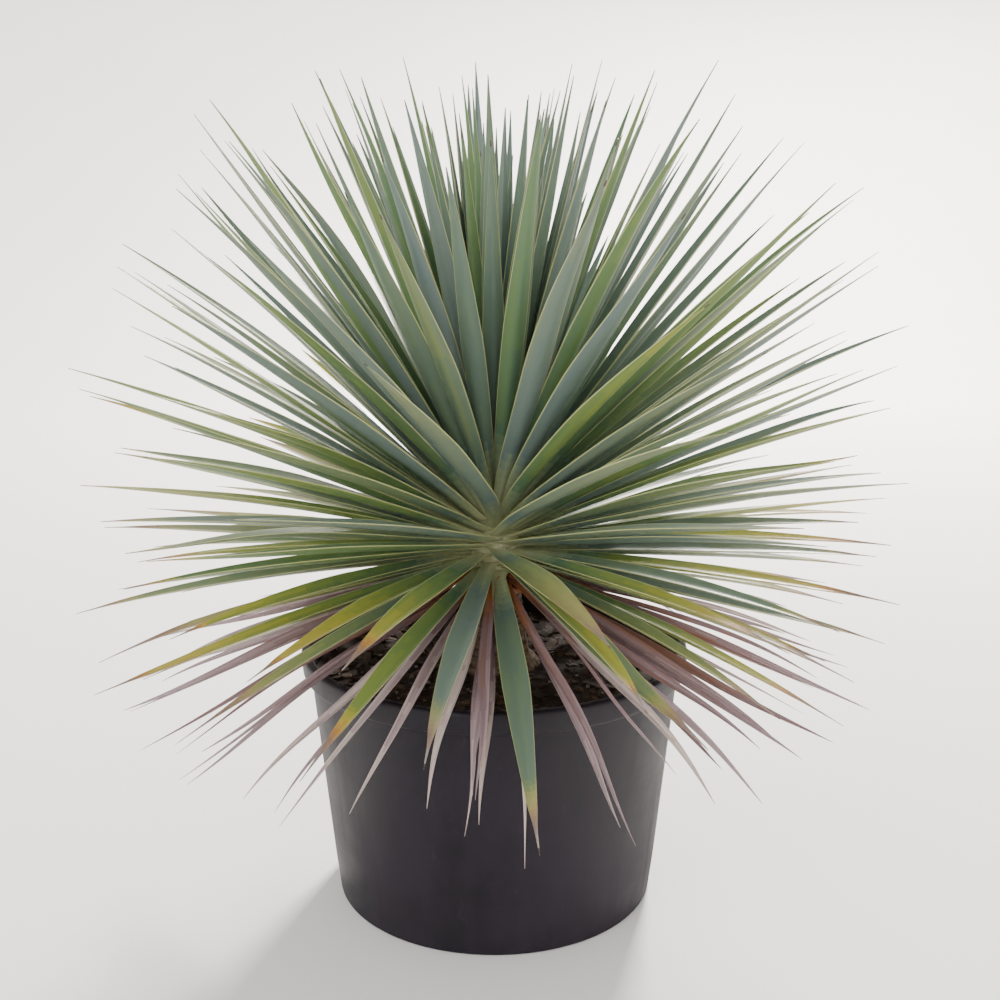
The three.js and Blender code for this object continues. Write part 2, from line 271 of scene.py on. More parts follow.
# From the middle of the underside, out round the foot ring, up the wall, over the rim and down inside.
# The last number of each corner is its rounding.
pot_corners = [
    (0, FLOOR_LIFT, 0),
    (BASE_RADIUS - FOOT_RING, FLOOR_LIFT, 0.001),
    (BASE_RADIUS - FOOT_RING + FOOT_SLOPE, 0, 0.0012),
    (BASE_RADIUS - FOOT_INSET, 0, 0.005),
    *[(wall_radius(height), height, 0.002) for height in (*WALL_RINGS, skirt - NECK_UNDER_RIM)],
    (wall_radius(skirt), skirt, 0.003),
    (RIM_RADIUS - RIM_TUCK, skirt + RIM_UNDERSIDE_RISE, 0.0035),
    (RIM_RADIUS - RIM_LEAN, skirt + RIM_BELLY_RISE, 0.003),
    (RIM_RADIUS, POT_HEIGHT, 0.006),
    (WALL_TOP_RADIUS - WALL, POT_HEIGHT, 0.004),
    (WALL_TOP_RADIUS - WALL - RIM_INNER_TUCK, skirt, 0.004),
    (BASE_RADIUS - WALL, FLOOR, 0.006),
    (0, FLOOR, 0),
]
pot_points, pot_faces = turned(rounded_outline(pot_corners), POT_SEGMENTS)
# The shell is a little out of round, more so towards the rim.
pot_angle = np.arctan2(pot_points[:, 1], pot_points[:, 0])
pot_lift = pot_points[:, 2] / POT_HEIGHT
pot_swell = OUT_OF_ROUND * pot_lift * (np.sin(2 * pot_angle + 0.8) - 1)
pot_points[:, :2] *= 1 + (pot_swell / WALL_TOP_RADIUS)[:, None]
pot = new_piece("pot_shell", pot_points, pot_faces, [pot_plastic()])
drain_angles = (np.arange(DRAIN_HOLES) + 0.5) / DRAIN_HOLES * 2 * math.pi
drain_places = [(DRAIN_CIRCLE * math.cos(a), DRAIN_CIRCLE * math.sin(a)) for a in drain_angles]
cut_holes(pot, drain_places, DRAIN_HOLE_RADIUS, 4 * FLOOR)
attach(pot, "root")
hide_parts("pot")

# The potting mix
# Coarse peat and composted bark that fills the pot to a thumb's width under its rim. It is loose on
# top, heaped a little round the stem, and has shrunk down at the wall.

soil_low, soil_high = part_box("potting_soil")
SOIL_LEVEL = soil_high.z
SOIL_BOTTOM = soil_low.z
SOIL_EDGE_DROP = 0.007
SOIL_GAP = 0.0012
SOIL_EDGE_RADIUS = wall_radius(SOIL_LEVEL) - WALL - SOIL_GAP
SOIL_FLAT_RADIUS = 0.09
SOIL_SETTLING = 0.0015
SOIL_FOOT_INSET = 0.008
SOIL_FOOT_RISE = 0.012
SOIL_FOOT_HEIGHT = 0.02
SOIL_RINGS = 56
SOIL_SEGMENTS = 200
# Height, width and seed of each size of roughness on the mix.
SOIL_LUMPS = [(0.0022, 0.03, 1), (0.0012, 0.009, 2), (0.0007, 0.004, 3)]


def lumps(points, size, seed):
    """Smooth chance from -1 to 1 over space, in lumps of about this size."""
    cells = points / size + seed * 17.31
    corner = np.floor(cells)
    share = cells - corner
    share = share * share * (3 - 2 * share)
    total = np.zeros(points.shape[:-1])
    for offset in np.ndindex(2, 2, 2):
        weight = np.prod(np.where(np.array(offset) == 1, share, 1 - share), axis=-1)
        wave = np.sin((corner + offset) @ np.array([12.9898, 78.233, 37.719])) * 43758.5453
        total += weight * (2 * (wave - np.floor(wave)) - 1)
    return total


def soil_height(x, y):
    """Height of the mix's surface at a place."""
    radius = np.hypot(x, y)
    slope = np.clip((radius - SOIL_FLAT_RADIUS) / (SOIL_EDGE_RADIUS - SOIL_FLAT_RADIUS), 0, 1)
    flat = np.stack([x, y, np.zeros_like(x)], axis=-1)
    rough = sum(height * lumps(flat, size, seed) for height, size, seed in SOIL_LUMPS)
    return SOIL_LEVEL - SOIL_SETTLING - SOIL_EDGE_DROP * slope**1.5 + rough


def potting_mix():
    """Dark damp peat with paler fibres and crumbs, darkened further as painted shade under the crown."""
    material, place = new_material("potting_mix")
    crumbs = place.noise(240, 6, 0.65)
    patches = place.noise(22, 3)
    fibres = place.stretched((900, 120, 400)).noise(1, 3).step(0.62, 0.7)
    # Painted shade: these peat colours are set darker than the damp mix's own, for the shade under the
    # crown.
    dark = patches.between(colour(29, 22, 18), colour(46, 35, 28))
    mixed = crumbs.step(0.45, 0.75).between(dark, colour(74, 58, 45))
    return finish(
        material,
        Base_Color=(fibres * 0.5).between(mixed, colour(108, 88, 67)),
        Roughness=0.86 + crumbs * 0.1,
        Normal=(crumbs + fibres * 0.3).bump(0.7, 0.003),
        Specular_IOR_Level=0.25,
    )


soil_outline = [Vector((0, SOIL_BOTTOM))]
soil_outline.append(Vector((wall_radius(0) - WALL - SOIL_FOOT_INSET, SOIL_BOTTOM)))
soil_outline.append(Vector((wall_radius(SOIL_FOOT_HEIGHT) - WALL - SOIL_GAP, SOIL_BOTTOM + SOIL_FOOT_RISE)))
for soil_step in range(SOIL_RINGS):
    soil_share = (SOIL_RINGS - soil_step) / SOIL_RINGS
    soil_outline.append(Vector((SOIL_EDGE_RADIUS * soil_share, SOIL_LEVEL)))
soil_outline.append(Vector((0, SOIL_LEVEL)))
soil_points, soil_faces = turned(soil_outline, SOIL_SEGMENTS)
soil_top = soil_points[:, 2] > SOIL_LEVEL - 0.001
soil_points[soil_top, 2] = soil_height(soil_points[soil_top, 0], soil_points[soil_top, 1])
soil = new_piece("potting_mix_surface", soil_points, soil_faces, [potting_mix()], crease=60)
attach(soil, "root")
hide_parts("potting_soil")

# Bark chips and grit on the mix
# Flat chips of pine bark and small pale grains of pumice lie loose on the mix, pressed into it a
# little, all over the open ring between the stem and the wall.

CHIPS = {"count": 520, "smallest": (0.007, 0.005, 0.0015), "largest": (0.026, 0.014, 0.005)}
GRAINS = {"count": 170, "smallest": (0.0022, 0.0022, 0.002), "largest": (0.005, 0.005, 0.0042)}
CHIP_UNEVENNESS = 0.035
GRAIN_UNEVENNESS = 0.05
CORNER_EASING = 0.45
LITTER_TILT = 0.35
LITTER_LIFT = 0.25
LITTER_INNER_RADIUS = 0.062
LITTER_OUTER_RADIUS = SOIL_EDGE_RADIUS - 0.012
chance_of = np.random.default_rng(11)


def spun(first, second, angles):
    """Two coordinates of every copy's points, turned together by the copy's angle."""
    cosine = np.cos(angles)[:, None]
    sine = np.sin(angles)[:, None]
    return first * cosine - second * sine, first * sine + second * cosine


def block_template():
    """Points from -1 to 1 and square faces of a block with its corners eased."""
    block = bmesh.new()
    bmesh.ops.create_cube(block, size=2)
    bmesh.ops.subdivide_edges(block, edges=block.edges[:], cuts=1, use_grid_fill=True)
    points = np.array([tuple(v.co) for v in block.verts])
    faces = np.array([[v.index for v in f.verts] for f in block.faces])
    block.free()
    eased = points / np.linalg.norm(points, axis=1, keepdims=True)
    return points * (1 - CORNER_EASING) + eased * CORNER_EASING, faces


def scattered(kind, unevenness):
    """Many uneven blocks, tumbled and laid on the mix: their points, faces and numbers."""
    template, faces = block_template()
    count = kind["count"]
    radius = np.sqrt(chance_of.uniform(LITTER_INNER_RADIUS**2, LITTER_OUTER_RADIUS**2, count))
    angle = chance_of.uniform(0, 2 * math.pi, count)
    size = chance_of.uniform(kind["smallest"], kind["largest"], (count, 3))
    shape = template[None] * size[:, None] / 2
    shape += size[:, None] * unevenness * chance_of.normal(size=shape.shape)
    most = np.array([[math.pi], [LITTER_TILT], [LITTER_TILT]])
    turn, tilt, lean = chance_of.uniform(-1, 1, (3, count)) * most
    x, y, z = shape[..., 0], shape[..., 1], shape[..., 2]
    y, z = spun(y, z, tilt)
    x, z = spun(x, z, lean)
    x, y = spun(x, y, turn)
    centre_x = radius * np.cos(angle)
    centre_y = radius * np.sin(angle)
    lift = soil_height(centre_x, centre_y) + size[:, 2] * LITTER_LIFT
    points = np.stack([x + centre_x[:, None], y + centre_y[:, None], z + lift[:, None]], axis=-1)
    numbers = np.repeat(np.arange(count), len(faces))
    first_points = (np.arange(count) * len(template))[:, None, None]
    all_faces = (faces[None] + first_points).reshape(-1, faces.shape[1])
    return points.reshape(-1, 3), all_faces, numbers


def chip_bark(name, shade):
    """Weathered pine bark in one shade."""
    material, place = new_material(name)
    grain = place.stretched((220, 70, 300)).noise(1, 5, 0.6)
    darker = tuple(part * 0.45 for part in shade[:3]) + (1,)
    return finish(
        material,
        Base_Color=grain.step(0.3, 0.7).between(darker, shade),
        Roughness=0.8 + grain * 0.15,
        Normal=grain.bump(0.6, 0.0012),
        Specular_IOR_Level=0.3,
    )


def pumice():
    """Pale porous grit, dirty in its pores."""
    material, place = new_material("pumice_grit")
    pores = place.noise(1400, 4, 0.7)
    return finish(
        material,
        Base_Color=pores.step(0.35, 0.6).between(colour(84, 76, 68), colour(132, 125, 115)),
        Roughness=0.9,
        Normal=pores.bump(0.6, 0.0006),
    )


chip_points, chip_faces, chip_numbers = scattered(CHIPS, CHIP_UNEVENNESS)
# Painted shade: the chips' bark colours are set darker than their own, for the shade under the crown.
chip_shades = [colour(74, 53, 38), colour(56, 42, 33), colour(92, 74, 57), colour(70, 60, 51)]
chip_barks = [chip_bark(f"chip_bark_{i + 1}", shade) for i, shade in enumerate(chip_shades)]
chips = new_piece("bark_chips", chip_points, chip_faces, chip_barks, crease=25)
chips.data.polygons.foreach_set("material_index", (chip_numbers % len(chip_barks)).astype(np.int32))
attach(chips, "root")

grain_points, grain_faces, _ = scattered(GRAINS, GRAIN_UNEVENNESS)
grains = new_piece("pumice_grains", grain_points, grain_faces, [pumice()], crease=50)
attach(grains, "root")

# The stem
# A short corky trunk that swells into the mix. Narrow scars ring it, one where each old leaf fell,
# set a golden angle apart as the leaves above are, and cork cracks open over them towards the foot.

SEED = 111
GOLDEN_ANGLE = 137.508
FIRST_LEAF_TURN = 140
BANDS = 8
RISE_PER_LEAF = 0.0008
FIRST_LEAF_HEIGHT = 0.448
DEAD_LEAVES = 24
LIVING_LEAVES = 144
STEM_HEAD_RADIUS = 0.031
STEM_TIP_RADIUS = 0.009
STEM_CLOSING = 2.2
STEM_FOOT_RADIUS = 0.060
STEM_FOOT_SINK = 0.005
FLARE_HEIGHT = 0.038
FLARE_WAIST_RISE = 0.4
FLARE_WAIST_INWARD = 0.7
NECK_RADIUS = 0.041
NECK_TOP_RADIUS = 0.039
NECK_HEIGHT = 0.062
HEAD_START_RISE = 0.105
YOUNGEST_SCAR = -4
SCARS_FROM_RISE = 0.012
SCARS_FULL_AFTER = 0.03
SCAR_REACH = 0.019
SCAR_HEIGHT = 0.0042
SCAR_RELIEF = 0.0022
SCAR_SCATTER = {"turn": 0.05, "height": 0.0008}
SCAR_LIP = 0.25
BARK_RELIEF = 0.0016
FOOT_COARSENESS = 1.3
FINE_BARK_SHARE = 0.4


# The number of each trait of a leaf, which keeps its chances apart from the other traits'.
TRAITS = {
    "azimuth": 1,
    "elevation": 2,
    "droop": 3,
    "sweep": 4,
    "roll": 5,
    "length": 6,
    "width": 7,
    "ripeness": 8,
    "stripe": 9,
    "drying": 10,
    "curl": 13,
    "sway": 14,
    "nod": 15,
    "fleck": 16,
    "waver": 19,
    "ragged": 21,
    "tone": 26,
    "yellowing": 87,
}


def chance(leaf, trait):
    """A number from -1 to 1 that is always the same for a leaf and a trait."""
    wave = np.sin(leaf * 12.9898 + TRAITS[trait] * 78.233 + SEED) * 43758.5453
    return 2 * (wave - np.floor(wave)) - 1


def leaf_turn(number):
    """Degrees round the stem at which the even rule puts a leaf."""
    return FIRST_LEAF_TURN + GOLDEN_ANGLE * number


def life_share(number):
    return np.maximum(0, number) / (LIVING_LEAVES - 1)


def head_radius(number):
    return STEM_HEAD_RADIUS + (STEM_TIP_RADIUS - STEM_HEAD_RADIUS) * life_share(number) ** STEM_CLOSING


def head_height(number):
    return FIRST_LEAF_HEIGHT + RISE_PER_LEAF * number


def cork():
    """Grey-brown cork: paler on the ridges, dark and warm in the cracks."""
    material, place = new_material("stem_cork")
    rings = place.stretched((26, 26, 240)).noise(1, 5, 0.6)
    cracks = place.stretched((160, 160, 60)).noise(1, 4, 0.6).step(0.34, 0.5)
    stains = place.noise(30, 3)
    ridge = stains.between(colour(148, 130, 108), colour(116, 98, 80))
    ringed = rings.step(0.35, 0.65).between(colour(84, 66, 50), ridge)
    return finish(
        material,
        Base_Color=cracks.between(colour(52, 38, 28), ringed),
        Roughness=0.82 + rings * 0.12,
        Normal=(rings * 0.6 + cracks * 0.6).bump(0.7, 0.0016),
        Specular_IOR_Level=0.3,
    )


def stem_surface(heights, segments):
    """Points of the trunk's relief, one ring for each height."""
    angle, height = np.meshgrid(np.arange(segments) / segments * 2 * math.pi, heights)
    rise = height - SOIL_LEVEL
    waist = FLARE_WAIST_RISE * FLARE_HEIGHT
    waist_radius = STEM_FOOT_RADIUS + (NECK_RADIUS - STEM_FOOT_RADIUS) * FLARE_WAIST_INWARD
    marks = [-STEM_FOOT_SINK, 0, waist, FLARE_HEIGHT, NECK_HEIGHT, HEAD_START_RISE]
    radii = [STEM_FOOT_RADIUS, STEM_FOOT_RADIUS, waist_radius, NECK_RADIUS, NECK_TOP_RADIUS]
    number = (height - FIRST_LEAF_HEIGHT) / RISE_PER_LEAF
    radius = np.where(number > 0, head_radius(number), np.interp(rise, marks, [*radii, STEM_HEAD_RADIUS]))
    scar = np.zeros_like(radius)
    lowest = int((SOIL_LEVEL - FIRST_LEAF_HEIGHT) / RISE_PER_LEAF)
    for old in range(lowest, YOUNGEST_SCAR):
        turn = math.radians(leaf_turn(old)) + SCAR_SCATTER["turn"] * chance(old, "azimuth")
        side = (angle - turn + math.pi) % (2 * math.pi) - math.pi
        across = side * radius / SCAR_REACH
        scar_height = head_height(old) + SCAR_SCATTER["height"] * chance(old, "elevation")
        drop = (height - scar_height) / SCAR_HEIGHT
        lens = np.clip(1 - across**2 - drop**2, 0, 1) ** 0.5
        scar = np.maximum(scar, lens * (1 - SCAR_LIP + SCAR_LIP * drop))
    points = np.stack([radius * np.cos(angle), radius * np.sin(angle), height], axis=-1)
    coarse = lumps(points * np.array([1, 1, 0.5]), 0.012, 4)
    fine = lumps(points * np.array([1, 1, 1.8]), 0.004, 5)
    scarred = np.clip((rise - SCARS_FROM_RISE) / SCARS_FULL_AFTER, 0, 1)
    bark = coarse * (FOOT_COARSENESS - scarred) + FINE_BARK_SHARE * fine
    relief = SCAR_RELIEF * scar * scarred + BARK_RELIEF * bark
    grown = radius + relief
    return np.stack([grown * np.cos(angle), grown * np.sin(angle), height], axis=-1)


STEM_SEGMENTS = 200
STEM_TOP = head_height(LIVING_LEAVES)
BARK_TOP = 0.46
BARK_STEP = 0.0009
HEAD_BOTTOM = 0.461
HEAD_RINGS = 24
STEM_CREST = 0.002
stem_heights = np.concatenate(
    [
        np.arange(SOIL_LEVEL - STEM_FOOT_SINK, BARK_TOP, BARK_STEP),
        np.linspace(HEAD_BOTTOM, STEM_TOP, HEAD_RINGS),
    ]
)
stem_grid = stem_surface(stem_heights, STEM_SEGMENTS)
stem_outline = [Vector((0, stem_heights[0]))]
stem_outline += [Vector((1, height)) for height in stem_heights]
stem_outline.append(Vector((0, STEM_TOP + STEM_CREST)))
stem_points, stem_faces = turned(stem_outline, STEM_SEGMENTS)
stem_points[:-2] = stem_grid.reshape(-1, 3)
stem = new_piece("stem_bark", stem_points, stem_faces, [cork()], crease=70)
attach(stem, "root")
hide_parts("stem")

# Leaves
# Every leaf is a stiff sword: a broad pale base that clasps the stem, a narrow neck, a thin blade
# hollowed along its upper face, thin horny edges, and a long point that ends in a brown spine.
# Leaves are numbered from the oldest, and their sizes, angles and colours follow from the number.

LEAF = {
    "lowest_elevation": -16,
    "steepest_elevation": 86,
    "length": 0.575,
    "old_length_share": 0.8,
    "young_length_share": 0.79,
    "longest_at": 0.6,
    "width": 0.036,
    "young_width": 0.021,
    "width_fall": 1.3,
    "old_width_share": 0.8,
    "full_width_at": 0.25,
    "droop": 8,
    "young_droop": 2,
}
DEAD_LEAF = {"elevation": -16, "lowest_elevation": -16.5, "length": 0.460, "width": 0.014, "droop": 7}
# Largest change of a leaf from the even rule, either way.
VARIATION = {
    "azimuth": 3.5,
    "elevation": 2.6,
    "droop": 4,
    "roll": 14,
    "sweep": 5,
    "length": 0.09,
    "width": 0.12,
}
# The crown is open at the front, where the leaf bases show: leaves near the middle of this side that
# stand between these slopes lean away from it, most of all in the middle.
OPENING = {"side": -90, "reach": 60, "parting": 22, "lowest": 4, "highest": 52, "fade": 8, "within": 0.25}
NECK_SHARE = 0.50
WIDEST_AT = 0.5
POINT_TAPER = 1.25
TIP_WIDTH_SHARE = 0.035
ROOT_OUT = 0.007
CLASP_GAP = 0.0007
SHEATH_RISE = 0.024
SHEATH_BEND = 0.006
SHEATH_HALF_WIDTH = 0.018
SHEATH_LEAVES_UNDER = 20
SHEATH_GAP = 0.0012
SPINE_LENGTH = 0.009
LIVING_WAVER = 0.016
BENT_WAVER = 0.07
BENT_FROM = 0.8
SWAY_WAVES = 9
NOD_WAVES = 7
WAVE_START = 3
DEAD_WAVER = 0.08
DEAD_CURL = 1.5
DRY_SHRINKAGE = 0.42
FINER_SHARE = 0.95
SPINE_STEPS = 240
# Places along a leaf, in steps of its middle line, and across it from edge to edge.
NECK_STATIONS = np.arange(0, 30, 5)
BODY_STATIONS = np.arange(30, 156, 7)
POINT_STATIONS = np.arange(156, 236, 4)
BLADE_STATIONS = np.concatenate([NECK_STATIONS, BODY_STATIONS, POINT_STATIONS, [236, 238, 240]])
SHEATH_STATIONS = 7
ACROSS = np.array([-1, -0.955, -0.72, -0.4, 0, 0.4, 0.72, 0.955, 1])


def mix(first, last, share):
    return first + (last - first) * share


def leaf_elevation(number):
    """Degrees above level at which a leaf leaves the stem."""
    living = mix(LEAF["lowest_elevation"], LEAF["steepest_elevation"], number / (LIVING_LEAVES - 1))
    dead = mix(DEAD_LEAF["elevation"], DEAD_LEAF["lowest_elevation"], -number / DEAD_LEAVES)
    return np.where(number < 0, dead, living)


def leaf_side(number):
    """Degrees from the middle of the open side at which the even rule puts a leaf."""
    return (leaf_turn(number) - OPENING["side"] + 180) % 360 - 180


def leaf_lean(number):
    """Degrees by which a leaf leans away from the middle of the open side."""
    side = leaf_side(number)
    elevation = leaf_elevation(number)
    inside = np.minimum(elevation - OPENING["lowest"], OPENING["highest"] - elevation) / OPENING["fade"]
    near = 1 - np.abs(side) / OPENING["reach"]
    return np.sign(side) * OPENING["parting"] * np.clip(near, 0, 1) * np.clip(inside, 0, 1)


def varied(number, trait):
    """A leaf's own change of a trait from the even rule."""
    return VARIATION[trait] * chance(number, trait)


def leaf_traits(number):
    """Every size and angle of the leaves with these numbers, in metres and radians, as columns."""
    number = np.asarray(number, float)[:, None]
    dead = number < 0
    share = life_share(number)
    longest = LEAF["longest_at"]
    growing = mix(LEAF["old_length_share"], 1, (share / longest) ** 2)
    young = mix(1, LEAF["young_length_share"], ((share - longest) / (1 - longest)) ** 2)
    grown = LEAF["length"] * np.where(share < longest, growing, young)
    length = np.where(dead, DEAD_LEAF["length"], grown) * np.where(number % 1 > 0, FINER_SHARE, 1)
    full_width = mix(LEAF["width"], LEAF["young_width"], share ** LEAF["width_fall"])
    filling_out = np.minimum(1, share / LEAF["full_width_at"])
    living_width = full_width * mix(LEAF["old_width_share"], 1, filling_out)
    width = np.where(dead, DEAD_LEAF["width"], living_width)
    droop = np.where(dead, DEAD_LEAF["droop"], mix(LEAF["droop"], LEAF["young_droop"], share))
    waver = np.where(chance(number, "waver") > BENT_FROM, BENT_WAVER, LIVING_WAVER)
    curl = DEAD_CURL * dead * chance(number, "curl")
    return {
        "number": number,
        "share": share,
        "dead": dead,
        "azimuth": np.radians(leaf_turn(number) + varied(number, "azimuth")),
        "elevation": np.radians(leaf_elevation(number) + varied(number, "elevation")),
        "droop": np.radians(droop + varied(number, "droop")),
        "lean": np.radians(leaf_lean(number)),
        "sweep": np.radians(varied(number, "sweep")),
        "roll": np.radians(varied(number, "roll")) + curl,
        "length": length * (1 + varied(number, "length")),
        "width": width * (1 + varied(number, "width")),
        "waver": np.where(dead, DEAD_WAVER, waver),
    }


def width_share(along):
    """Width along a leaf, as a share of its greatest."""
    rising = mix(NECK_SHARE, 1, np.sin(math.pi / 2 * np.minimum(along, WIDEST_AT) / WIDEST_AT))
    beyond = np.maximum(0, along - WIDEST_AT) / (1 - WIDEST_AT)
    return np.where(along < WIDEST_AT, rising, 1 - (1 - TIP_WIDTH_SHARE) * beyond**POINT_TAPER)


def leaf_line(leaf):
    """Points and directions of the leaves' middle lines, from the root to the tip."""
    number = leaf["number"]
    along = np.arange(SPINE_STEPS + 1) / SPINE_STEPS
    sway = leaf["waver"] * along * np.sin(SWAY_WAVES * along + WAVE_START * chance(number, "sway"))
    nod = leaf["waver"] * along * np.sin(NOD_WAVES * along + WAVE_START * chance(number, "nod"))
    elevation = leaf["elevation"] - leaf["droop"] * along**2 + nod
    lean = leaf["lean"] * np.minimum(1, along / OPENING["within"])
    azimuth = leaf["azimuth"] + lean + leaf["sweep"] * along**2 + sway
    flat = np.cos(elevation)
    direction = np.stack([flat * np.cos(azimuth), flat * np.sin(azimuth), np.sin(elevation)], axis=-1)
    rule = np.radians(leaf_elevation(np.maximum(0, number)))
    radius = head_radius(number) + CLASP_GAP + ROOT_OUT * np.cos(rule)
    height = head_height(number) + ROOT_OUT * np.sin(rule)
    root = np.stack(
        [radius * np.cos(leaf["azimuth"]), radius * np.sin(leaf["azimuth"]), height], axis=-1
    )
    moves = direction[:, :-1] * (leaf["length"] / SPINE_STEPS)[..., None]
    points = np.concatenate([root, root + np.cumsum(moves, axis=1)], axis=1)
    return points, direction, azimuth


def sheath_line(leaf, root, direction):
    """The way of the clasping base: up along the stem, and out into the blade's root."""
    number = leaf["number"]
    azimuth = leaf["azimuth"]
    radius = head_radius(number - SHEATH_LEAVES_UNDER) + SHEATH_GAP
    height = head_height(number) - SHEATH_RISE
    start = np.stack([radius * np.cos(azimuth), radius * np.sin(azimuth), height], axis=-1)
    bend = root - direction * SHEATH_BEND
    share = (np.arange(SHEATH_STATIONS) / SHEATH_STATIONS)[None, :, None]
    points = start * (1 - share) ** 2 + 2 * bend * share * (1 - share) + root * share**2
    tangent = 2 * (bend - start) * (1 - share) + 2 * (root - bend) * share
    return points, tangent / np.linalg.norm(tangent, axis=-1, keepdims=True), share[..., 0]


# Ripeness is 0 to 5 in the green of a leaf, under 0 at its pale base and up to 8 at a dry end. Each of
# these goes by the leaf's place up the head, from 0 for the oldest to 1 for the youngest.
BODY_RIPENESS = [(0, 0.9), (0.1, 1.1), (0.28, 1.1), (0.55, 0.7), (1, 0.3)]
YELLOWING = [(0, 2.2), (0.2, 2.3), (0.45, 1.2), (1, 0.3)]
DRYING_START = [(0, 0.83), (0.12, 0.88), (0.3, 0.93), (1, 0.96)]
DRYING = [(0.16, 1), (0.42, 0)]
DRY = 8
DRY_BY = 0.97
DRYING_SPREAD = 0.07
RIPENESS_SPREAD = 0.6
YELLOWING_SHIFT = 0.52
YELLOWING_LIMIT = 1.2
YELLOW_FROM = 0.2
YELLOW_OVER = 0.6
DRYING_CURVE = 0.85
PALE_LENGTH = 0.25
PALE_LIMIT = 1.4
PALE_CURVE = 1.15
PALENESS = 4.6
PALE_OVER_GREEN = 0.7


def by_place(share, stops):
    places, values = zip(*stops)
    return np.interp(share, places, values)


def ripeness(leaf, along):
    """How far the living leaves have ripened along their length."""
    share = leaf["share"]
    number = leaf["number"]
    body = by_place(share, BODY_RIPENESS) + RIPENESS_SPREAD * chance(number, "ripeness") * (1.1 - share)
    early = np.clip(YELLOWING_SHIFT + chance(number, "yellowing"), 0, YELLOWING_LIMIT)
    yellowing = by_place(share, YELLOWING) * early
    outward = np.clip((along - YELLOW_FROM) / YELLOW_OVER, 0, 1) * yellowing
    start = by_place(share, DRYING_START) - DRYING_SPREAD * (chance(number, "drying") + 1)
    dried = np.clip((along - start) / (DRY_BY - start), 0, 1) ** DRYING_CURVE
    ageing = dried * by_place(share, DRYING)
    base = np.clip(1 - along / PALE_LENGTH, 0, PALE_LIMIT) ** PALE_CURVE
    paling = (PALENESS + PALE_OVER_GREEN * body) * base
    return body + outward + (DRY - body - outward) * ageing - paling


CLASP_LENGTH = 0.022
CLASP_FADE = 1.6
CLASP_STAND_OFF = 0.004
CLASP_HOLLOW_GAP = 0.008
CLASP_OVERLAP = 1.15
CHANNEL_CURVE = 1.25
BODY_CURVE = 0.8
TIP_THICKNESS_SHARE = 0.45
EDGE_LIMIT = 0.6
THICKNESS_BY_WIDTH = 1.6
LEAST_THICKNESS_SHARE = 0.25
SHRINKING_FROM = 5
SHRINKING_OVER = 2
DRY_HOLLOWING = 0.4
# Thickness at a leaf's edge and its middle, and the depth of the hollow along its upper face.
LIVING_SECTION = {"edge": 0.0008, "middle": 0.0032, "channel": 0.0066}
DEAD_SECTION = {"edge": 0.0005, "middle": 0.0014, "channel": 0.0045}


def blades(leaf, section):
    """Rings of points round each leaf at each station, and how far along each station is."""
    points, direction, azimuth = leaf_line(leaf)
    sheath_points, sheath_direction, sheath_share = sheath_line(leaf, points[:, :1], direction[:, :1])
    points = np.concatenate([sheath_points, points[:, BLADE_STATIONS]], axis=1)
    direction = np.concatenate([sheath_direction, direction[:, BLADE_STATIONS]], axis=1)
    sheath_along = (sheath_share - 1) * SHEATH_RISE / leaf["length"]
    blade_along = np.broadcast_to(BLADE_STATIONS / SPINE_STEPS, (len(points), len(BLADE_STATIONS)))
    along = np.concatenate([sheath_along, blade_along], axis=1)
    sheath_azimuth = np.broadcast_to(leaf["azimuth"], sheath_along.shape)
    azimuth = np.concatenate([sheath_azimuth, azimuth[:, BLADE_STATIONS]], axis=1)
    level = np.stack([-np.sin(azimuth), np.cos(azimuth), np.zeros_like(azimuth)], axis=-1)
    raised = np.cross(direction, level)
    roll = (leaf["roll"] * np.clip(along, 0, 1))[..., None]
    across = level * np.cos(roll) + raised * np.sin(roll)
    upper = np.cross(direction, across)
    shrinking = np.clip((ripeness(leaf, along) - SHRINKING_FROM) / SHRINKING_OVER, 0, 1)
    dry = np.where(leaf["dead"], 0, shrinking)
    share = width_share(np.clip(along, 0, 1)) * (1 - DRY_SHRINKAGE * dry)
    clasp = np.clip(1 - along * leaf["length"] / CLASP_LENGTH, 0, 1) ** CLASP_FADE
    clasp = np.where(along < 0, 1, clasp)
    stem = head_radius(leaf["number"])
    sheath_half = np.minimum(SHEATH_HALF_WIDTH, CLASP_OVERLAP * (stem + CLASP_STAND_OFF))
    half = np.maximum(leaf["width"] / 2 * share, mix(leaf["width"] / 2 * share, sheath_half, clasp))
    clasp_depth = half**2 / (2 * (stem + CLASP_HOLLOW_GAP))
    depth = mix(section["channel"] * share * (1 + DRY_HOLLOWING * dry), clasp_depth, clasp)
    middle = section["middle"]
    tapering = mix(middle, middle * TIP_THICKNESS_SHARE, np.clip(along, 0, 1))
    thick = tapering * np.clip(share * THICKNESS_BY_WIDTH, LEAST_THICKNESS_SHARE, 1)
    thin = np.minimum(section["edge"], thick * EDGE_LIMIT)
    rise = depth[..., None] * np.abs(ACROSS) ** CHANNEL_CURVE
    body = thin[..., None] + (thick - thin)[..., None] * (1 - ACROSS**2) ** BODY_CURVE
    top = points[:, :, None] + across[:, :, None] * (half[..., None] * ACROSS)[..., None]
    top = top + upper[:, :, None] * rise[..., None]
    under = top - upper[:, :, None] * body[..., None]
    return np.concatenate([top, under[:, :, ::-1]], axis=2), along


